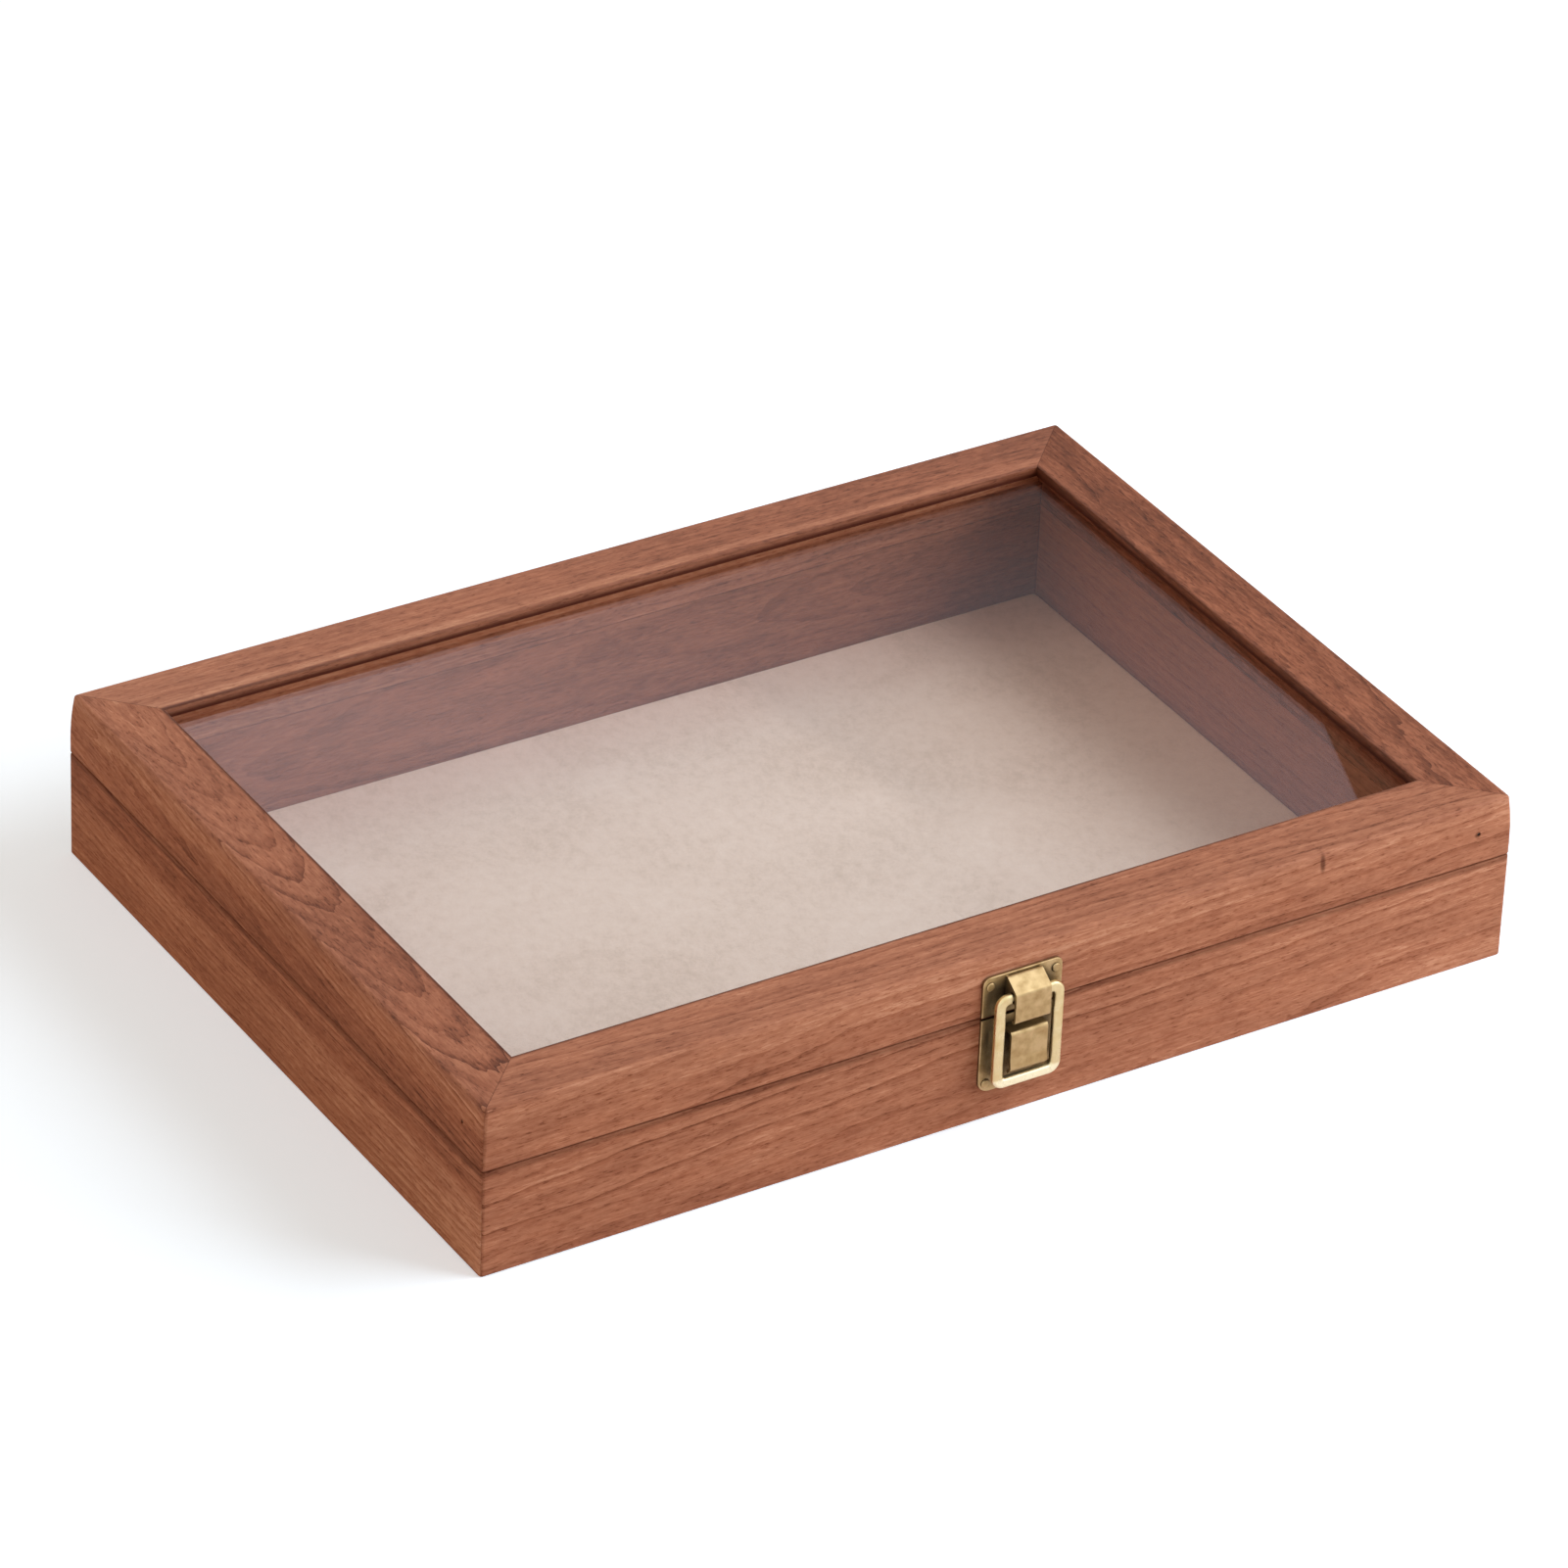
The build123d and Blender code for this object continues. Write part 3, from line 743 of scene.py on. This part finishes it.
# %% Finish the eight boards
front_fleck = ((107.0, -125.0, 52.6), (1.2, 12.0, 4.0))
brad_low, brad_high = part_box("lid_corner_brads")
brad_height = (brad_low.z + brad_high.z) / 2 / MM
brad_stain = ((brad_high.x / MM - 12.0, -125.0, brad_height), (1.3, 13.0, 1.3))
# Tone and drift were matched to each board's look in this light, so besides the wood's own tone they hold
# painted light and shade: the lid's side rails are darker than its front and back, and the drifts follow the
# light and shade across the case.
boards = {
    "tray_front_wall": dict(
        along=along_x, heart=(-88.0, -6.0, 310.0), tilt=(0.8, 1.6), bend=5.0, ring_width=3.2,
        figure=0.95, tone=0.0, drift=0.08,
    ),
    "tray_back_wall": dict(
        along=along_x, heart=(134.0, 24.0, 720.0), tilt=(0.5, 3.5), bend=6.0, ring_width=3.4,
        figure=0.9, tone=-0.21, drift=-0.26, contrast=0.7,
    ),
    "tray_left_wall": dict(
        along=along_y, heart=(-150.0, -40.0, 95.0), tilt=(0.8, 0.4), bend=7.0,
        figure=0.9, tone=0.10, drift=-0.14, streak=0.21,
    ),
    "tray_right_wall": dict(
        along=along_y, heart=(90.0, -70.0, 530.0), tilt=(0.5, 0.5),
        figure=0.5, tone=-0.06, drift=0.12, contrast=0.65,
    ),
    "lid_front_rail": dict(
        along=along_x, heart=(-70.0, 5.0, 905.0), tilt=(1.2, 0.9), bend=6.0,
        figure=0.95, tone=-0.02, spots=[front_fleck, brad_stain], outer_highlight=0.11,
    ),
    "lid_back_rail": dict(
        along=along_x, heart=(70.0, 2.0, 150.0), tilt=(0.8, 1.0), bend=6.0,
        figure=0.6, tone=-0.09, drift=-0.28, polish=0.42, outer_highlight=0.1, inner_highlight=0.22,
    ),
    "lid_left_rail": dict(
        along=along_y, heart=(-163.0, 38.0, 440.0), tilt=(5.0, 0.6), bend=3.0, quiver=0.45,
        ring_width=1.8, figure=1.3, tone=-0.15, drift=0.12, outer_highlight=0.17,
    ),
    "lid_right_rail": dict(
        along=along_y, heart=(150.0, 25.0, 660.0), tilt=(3.0, 2.0), bend=5.0, quiver=0.6,
        figure=0.8, tone=-0.30, drift=-0.08, outer_highlight=0.1, inner_highlight=0.05,
    ),
}
for name, cut in boards.items():
    wear(wood("wood_" + name, **cut), name)

# %% [markdown]
# The four thin beads that hold the glass from inside are cut from the same wood. The one at the right is
# painted darker, as shade.

# %% Finish the glass beads
bead_step = 90.0
plain_strip = 0.12
# The right bead's darker tone is painted shade.
right_bead_shade = -0.3
for number, side in enumerate(("front", "back", "left", "right")):
    along = along_x if side in ("front", "back") else along_y
    name = "glass_bead_" + side
    heart = (20.0, -30.0, 200.0 + bead_step * number)
    tone = right_bead_shade if side == "right" else plain_strip
    wear(wood("wood_" + name, along, heart, figure=0.4, tone=tone), name)

# %% [markdown]
# ## The glass
# A 2 mm pane of plain window glass, with a breath of green. True glass throws away the light that should fall
# through it unless many rays are spent, so lamp light and bounced light pass a clear film instead, and only
# what looks at the pane sees real glass.

# %% Finish the glass
glass_tint = (0.975, 0.99, 0.98, 1.0)
film_tint = (0.94, 0.945, 0.94, 1.0)
most_smudge = 0.012
glass, tree = new_material("clear_glass")
smudge = fade(tree, cloudy(tree, here(tree)), 0.3, 0.7, 0.0, most_smudge)
window_glass = {"Base Color": glass_tint, "Roughness": smudge, "IOR": 1.52, "Transmission Weight": 1.0}
pane_shader = add(tree, "BsdfPrincipled", window_glass)
film = add(tree, "BsdfTransparent", {"Color": film_tint})
gathering = any_ray(tree, "Is Shadow Ray", "Is Diffuse Ray")
pane_mix = add(tree, "MixShader", {0: gathering, 1: pane_shader.outputs[0], 2: film.outputs[0]})
finish_material(tree, pane_mix.outputs[0])
wear(glass, "glass_pane")

# %% [markdown]
# ## The brass
# The latch and the hinges are pressed from thin steel and plated with pale bright brass. The plating is
# smooth but the pressing leaves it faintly wavy, and handling dulls it in patches. The gaps are painted dark
# brown, as shade. Metal looks like metal by what it mirrors, so its colour changes little and its sharpness
# more, and a shading node that feels for near surfaces finds the gaps.

# %% The plated finish
brass_colour = seen(210, 184, 138)
brass_shade = seen(172, 142, 94)
# The loop's colours and its foot's colour are painted highlights.
highlit_loop_bright = seen(246, 231, 184)
highlit_loop_dull = seen(230, 207, 150)
foot_highlight = seen(255, 243, 209)
gap_shade_colour = seen(44, 30, 18)
gap_reach = 6.0
patches_to_metre = 260.0
waves_to_metre = 700.0
most_gap_shade = 0.96
gap_dullness = 0.25


def plated(name, bright, dull, ripple, gloss=(0.28, 0.52), foot=0.0, foot_top=0.0):
    """Bright metal with dull patches, a faint ripple, painted gap shade, and low down a leaning face painted
    paler.
    """
    material, tree = new_material(name)
    patches = cloudy(tree, magnified(tree, patches_to_metre), detail=4.0)
    waves = cloudy(tree, magnified(tree, waves_to_metre))
    openness = add(tree, "AmbientOcclusion", {"Distance": gap_reach * MM}, samples=8).outputs["AO"]
    closed = fade(tree, openness, 0.36, 0.88, most_gap_shade, 0.0)
    colour = blend(tree, fade(tree, patches, 0.4, 0.75), bright, dull)
    # Painted shade in the gaps that the occlusion node finds.
    colour = blend(tree, closed, colour, gap_shade_colour)
    height = placed(tree)[2]
    if foot:
        # The foot is painted paler, as a highlight.
        low_down = fade(tree, height, foot_top - 0.6, foot_top + 0.4, 1.0, 0.0)
        colour = blend(tree, low_down, colour, foot_highlight)
    lean = sums(tree, "MULTIPLY", sums(tree, "MINIMUM", height, foot_top), -foot)
    leaning = add(tree, "Bump", {"Strength": 1.0, "Distance": MM, "Height": lean}).outputs[0]
    wavy = {"Strength": 0.25, "Distance": ripple * MM, "Height": waves, "Normal": leaning}
    metal = {
        "Base Color": colour,
        "Metallic": 1.0,
        "Roughness": sums(tree, "MULTIPLY_ADD", closed, gap_dullness, fade(tree, patches, 0.3, 0.7, *gloss)),
        "Normal": add(tree, "Bump", wavy).outputs[0],
    }
    finish_material(tree, add(tree, "BsdfPrincipled", metal).outputs[0])
    return material


# %% [markdown]
# Plates, hinges, nails and screws share one finish. The loop is the piece that fingers touch, so it is
# smoother, and it is painted paler as a highlight. Its foot is bent a little outwards and catches the light.
# Here that lean is a bump in the finish, with a paler colour as a painted highlight.

# %% Finish the brass
brass = plated("bright_brass", brass_colour, brass_shade, ripple=0.09)
wear(brass, *[name for name in nodes if name.startswith("latch_") or "hinge" in name])
foot_height = 3.4
loop_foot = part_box("latch_loop")[0].z / MM + foot_height
highlit_loop_brass = plated("highlit_loop_brass", highlit_loop_bright, highlit_loop_dull, ripple=0.05, gloss=(0.22, 0.40),
                      foot=0.36, foot_top=loop_foot)
wear(highlit_loop_brass, "latch_loop")

# %% [markdown]
# ## The steel brads
# One brad crosses each mitre of the lid. It is driven a little below the wood, where it looks nearly black,
# partly from painted shade in its hollow.

# %% Finish the brads
steel = plated("dull_steel", seen(120, 116, 112), seen(70, 62, 58), ripple=0.03, gloss=(0.4, 0.6))
wear(steel, "lid_corner_brads")

# %% [markdown]
# ## The bottom panel
# Under the lining lies a thin board, let into the walls from below. Cheap cases use plywood of a pale wood.
# Its face shows broad flat grain, because the veneer is peeled from the log. Ten pins hold it, driven flush,
# so they are only small dark dots in its face.

# %% Finish the panel
ply_browns = [(0.25, seen(168, 128, 92)), (0.5, seen(198, 160, 120)), (0.75, seen(214, 180, 142))]
pin_grey = seen(60, 54, 50)
pin_reach = (1.0, 1.0, 10.0)
pin_inset = 3.3
panel, tree = new_material("plywood")
sheet_place = board_space(tree, along_x, (0.0, -8.0, 40.0), (0.3, 0.2))
peel = growth(tree, sheet_place, bend=9.0, quiver=0.2, ring_width=2.6)
flame = by_year(tree, peel, scale=0.6, detail=4.0, roughness=0.6)
hairs = cloudy(tree, stretched(tree, sheet_place, 0.6, 0.6, 20.0), detail=3.0)
ply_tone = sums(tree, "MULTIPLY_ADD", hairs, 0.4, sums(tree, "MULTIPLY", flame, 0.6))
ply_colour = ramp(tree, ply_tone, ply_browns)
ply_places = placed(tree)
pin_x = panel_high.x / MM - pin_inset
pin_y = panel_high.y / MM - pin_inset
panel_pins = [(x, side * pin_y) for side in (-1, 1) for x in (-110.0, 0.0, 110.0)]
panel_pins += [(side * pin_x, y) for side in (-1, 1) for y in (-60.0, 60.0)]
for x, y in panel_pins:
    pin = dark_spot(tree, ply_places, (x, y, 0.0), pin_reach)
    ply_colour = blend(tree, pin, ply_colour, pin_grey)
ply_look = {
    "Base Color": ply_colour,
    "Roughness": 0.75,
    "Specular IOR Level": 0.2,
    "Normal": add(tree, "Bump", {"Strength": 0.3, "Distance": pore_depth * MM, "Height": hairs}).outputs[0],
}
finish_material(tree, add(tree, "BsdfPrincipled", ply_look).outputs[0])
wear(panel, "bottom_panel")

# %% [markdown]
# On the panel lies the card that the lining is wrapped over. It is plain grey pulp board, and would only show
# where the cloth is lifted.

# %% Finish the card
pulp_to_metre = 900.0
board_card, tree = new_material("grey_card")
pulp = cloudy(tree, magnified(tree, pulp_to_metre))
card_tone = ramp(tree, pulp, [(0.2, seen(150, 146, 138)), (0.8, seen(176, 172, 162))])
card_look = {"Base Color": card_tone, "Roughness": 0.95}
finish_material(tree, add(tree, "BsdfPrincipled", card_look).outputs[0])
wear(board_card, "lining_card")

# %% [markdown]
# ## The lining
# A card is wrapped in a soft beige cloth and dropped into the tray. The cloth is thin, but its edge is round
# where it turns over the card, and it never runs quite straight. The sheet is built from its outline inwards:
# rows of points follow the edge closely, and the middle is a wide grid with a breath of unevenness.

# %% Lay out the cloth's rows
edge_round = 1.4 * MM
grid_step = 4.0 * MM
turned_rows = (0.0, 0.08, 0.25, 0.5, 0.8, 1.2, 2.0)


def edge_rows(length):
    """Distances from one edge to the other: close together at the turned edges, then even."""
    near = [v * edge_round for v in turned_rows]
    count = round((length - 2 * near[-1]) / grid_step)
    middle = [near[-1] + (length - 2 * near[-1]) * i / count for i in range(1, count)]
    return near + middle + [length - v for v in reversed(near)]


lining_width = cloth_high.x - cloth_low.x
lining_depth = cloth_high.y - cloth_low.y
rows = edge_rows(lining_depth)
columns = edge_rows(lining_width)
print("cloth grid", len(rows), "by", len(columns))

# %% [markdown]
# Each grid point is carried to its place on the cloth: drawn in where the edge wanders, dropped where it
# turns over the card, and sunk or lifted a little in the field. Wander and swell both come from smooth noise,
# each read in its own slice of it, so that they don't agree.

# %% Shape the cloth
edge_wander = 0.45 * MM
slow_wave = 45.0
slow_slice = 0.4
slow_sides_apart = 7.3
quick_wave = 14.0
quick_slice = 5.2
quick_sides_apart = 3.1
field_swell = 0.12 * MM
field_sink = 0.6
swell_across = 38.0
swell_along = 30.0
swell_slice = 1.7
swell_margin = 12.0 * MM
corner_round = 2.5 * MM


def wander(along_edge, side):
    """How far the edge draws in from its straight line at this place."""
    slow = noise.noise(Vector((along_edge / MM / slow_wave, slow_sides_apart * side, slow_slice)))
    quick = noise.noise(Vector((along_edge / MM / quick_wave, quick_sides_apart * side, quick_slice)))
    return edge_wander * (0.5 + 0.5 * slow + 0.25 * quick)


def edge_drop(inward):
    """How far the cloth has turned down at this distance from its edge."""
    if inward >= edge_round:
        return 0.0
    return edge_round - math.sqrt(edge_round ** 2 - (edge_round - inward) ** 2)


def rounded_corner(point):
    """Pull a point near a corner in to a round corner."""
    centre_x = math.copysign(cloth_high.x - corner_round, point.x)
    centre_y = math.copysign(cloth_high.y - corner_round, point.y)
    past_centre = Vector((point.x - centre_x, point.y - centre_y))
    if past_centre.x * centre_x <= 0 or past_centre.y * centre_y <= 0:
        return point
    square = max(abs(past_centre.x), abs(past_centre.y))
    scale = square / past_centre.length
    return Vector((centre_x + past_centre.x * scale, centre_y + past_centre.y * scale, point.z))


def cloth_point(x, y):
    """The place on the cloth's upper side of a point of the flat outline."""
    left, right = wander(y, 1), wander(y, 2)
    front, back = wander(x, 3), wander(x, 4)
    placed_x = cloth_low.x + left + x * (lining_width - left - right) / lining_width
    placed_y = cloth_low.y + front + y * (lining_depth - front - back) / lining_depth
    inward = min(x, y, lining_width - x, lining_depth - y)
    swell = noise.noise(Vector((x / MM / swell_across, y / MM / swell_along, swell_slice))) - field_sink
    level = cloth_high.z - edge_drop(inward) + field_swell * swell * min(1.0, inward / swell_margin)
    return rounded_corner(Vector((placed_x, placed_y, level)))


# %% [markdown]
# The cloth is a closed sheet, so that it stays whole when it is exported. It stands for the plain solid that
# the solid model keeps in its place, and rides on the tray.

# %% Make the lining


def solid_sheet(name, rows, columns, surface, bottom):
    """A closed sheet: a surface above, straight edges down to the bottom, and a flat underside."""
    form = bmesh.new()
    upper = [[form.verts.new(surface(x, y)) for x in columns] for y in rows]
    lower = [[form.verts.new((v.co.x, v.co.y, bottom)) for v in row] for row in upper]
    last_row, last_column = len(rows) - 1, len(columns) - 1
    for j in range(last_row):
        for i in range(last_column):
            for level in (upper, lower):
                form.faces.new((level[j][i], level[j][i + 1], level[j + 1][i + 1], level[j + 1][i]))
    for edge in (0, last_row):
        for i in range(last_column):
            form.faces.new((lower[edge][i], lower[edge][i + 1], upper[edge][i + 1], upper[edge][i]))
    for edge in (0, last_column):
        for j in range(last_row):
            form.faces.new((lower[j][edge], lower[j + 1][edge], upper[j + 1][edge], upper[j][edge]))
    bmesh.ops.recalc_face_normals(form, faces=form.faces)
    mesh = bpy.data.meshes.new(name)
    form.to_mesh(mesh)
    form.free()
    mesh.shade_smooth()
    piece = bpy.data.objects.new(name, mesh)
    bpy.context.scene.collection.objects.link(piece)
    return piece


lining = solid_sheet("beige_lining", rows, columns, cloth_point, cloth_low.z)
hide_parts("lining_cloth")
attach(lining, "tray")

# %% [markdown]
# The cloth is a short raised nap, like flannel. Seen closely it has a fine felted grain, and further off it
# has soft blotches where the nap lies another way. Right of the middle, in the back half, it gets lighter up
# to a soft line, drops at it, and comes back slowly.

# %% The soft line in the nap
soft_line_slant = 0.12
soft_line_start = -40.0
soft_line_at = 61.3
soft_line_width = 6.0
soft_line_end = 112.0
soft_line_rise = 0.045
soft_line_fall = 0.115
soft_line_return = 0.07


def soft_line_lightness(tree, places):
    """How much lighter the nap looks than its colour, as a factor near 1."""
    across = sums(tree, "MULTIPLY_ADD", places[1], soft_line_slant, places[0])
    rise = fade(tree, across, soft_line_start, soft_line_at - soft_line_width, 0.0, soft_line_rise)
    fall = fade(tree, across, soft_line_at - soft_line_width, soft_line_at + soft_line_width, 0.0, soft_line_fall)
    back = fade(tree, across, soft_line_at + soft_line_width, soft_line_end, 0.0, soft_line_return)
    change = sums(tree, "ADD", sums(tree, "SUBTRACT", rise, fall), back)
    return sums(tree, "MULTIPLY_ADD", change, fade(tree, places[1], 0.0, 25.0), 1.0)


# %% [markdown]
# Along the back and the right wall the cloth is painted browner and darker, as the walls' shade and the warm
# light they throw back. A little sheen lightens it where it is seen at a slant, as it does on any nap.

# %% Finish the lining
nap_beiges = [(0.30, seen(217, 195, 177)), (0.5, seen(239, 219, 205)), (0.70, seen(249, 232, 220))]
felt_share = 0.30
tuft_share = 0.35
blotch_share = 0.35
right_wall_shade = (1.0, 0.90, 0.83, 1.0)
back_wall_shade = (0.94, 0.87, 0.84, 1.0)
felt_depth = 0.12
nap, tree = new_material("beige_flannel")
cloth_place = magnified(tree, 1 / MM)
felt = cloudy(tree, stretched(tree, cloth_place, 0.7, 0.9, 0.7), detail=3.0, roughness=0.65)
tufts = cloudy(tree, stretched(tree, cloth_place, 3.5, 4.5, 3.5), detail=3.0, roughness=0.6)
blotches = cloudy(tree, stretched(tree, cloth_place, 45.0, 38.0, 40.0), distortion=0.6)
nap_tone = sums(tree, "MULTIPLY", felt, felt_share)
nap_tone = sums(tree, "MULTIPLY_ADD", tufts, tuft_share, nap_tone)
nap_tone = sums(tree, "MULTIPLY_ADD", blotches, blotch_share, nap_tone)
nap_colour = ramp(tree, nap_tone, nap_beiges)
nap_places = placed(tree)
# Painted shade and warm bounced light near the right and back walls.
to_right = fade(tree, nap_places[0], 50.0, 150.0, 0.0, 0.8)
to_back = fade(tree, nap_places[1], 78.0, 108.0)
nap_colour = blend(tree, to_right, nap_colour, right_wall_shade, "MULTIPLY")
nap_colour = blend(tree, to_back, nap_colour, back_wall_shade, "MULTIPLY")
lighter = soft_line_lightness(tree, nap_places)
nap_colour = add(tree, "VectorMath", {0: nap_colour, 3: lighter}, operation="SCALE").outputs[0]
nap_bump = add(tree, "Bump", {"Strength": 0.5, "Distance": felt_depth * MM, "Height": felt})
nap_look = {
    "Base Color": nap_colour,
    "Roughness": 0.95,
    "Specular IOR Level": 0.1,
    "Normal": nap_bump.outputs[0],
    "Sheen Weight": 0.25,
    "Sheen Roughness": 0.5,
}
finish_material(tree, add(tree, "BsdfPrincipled", nap_look).outputs[0])
lining.data.materials.append(nap)
print("lining finish made")
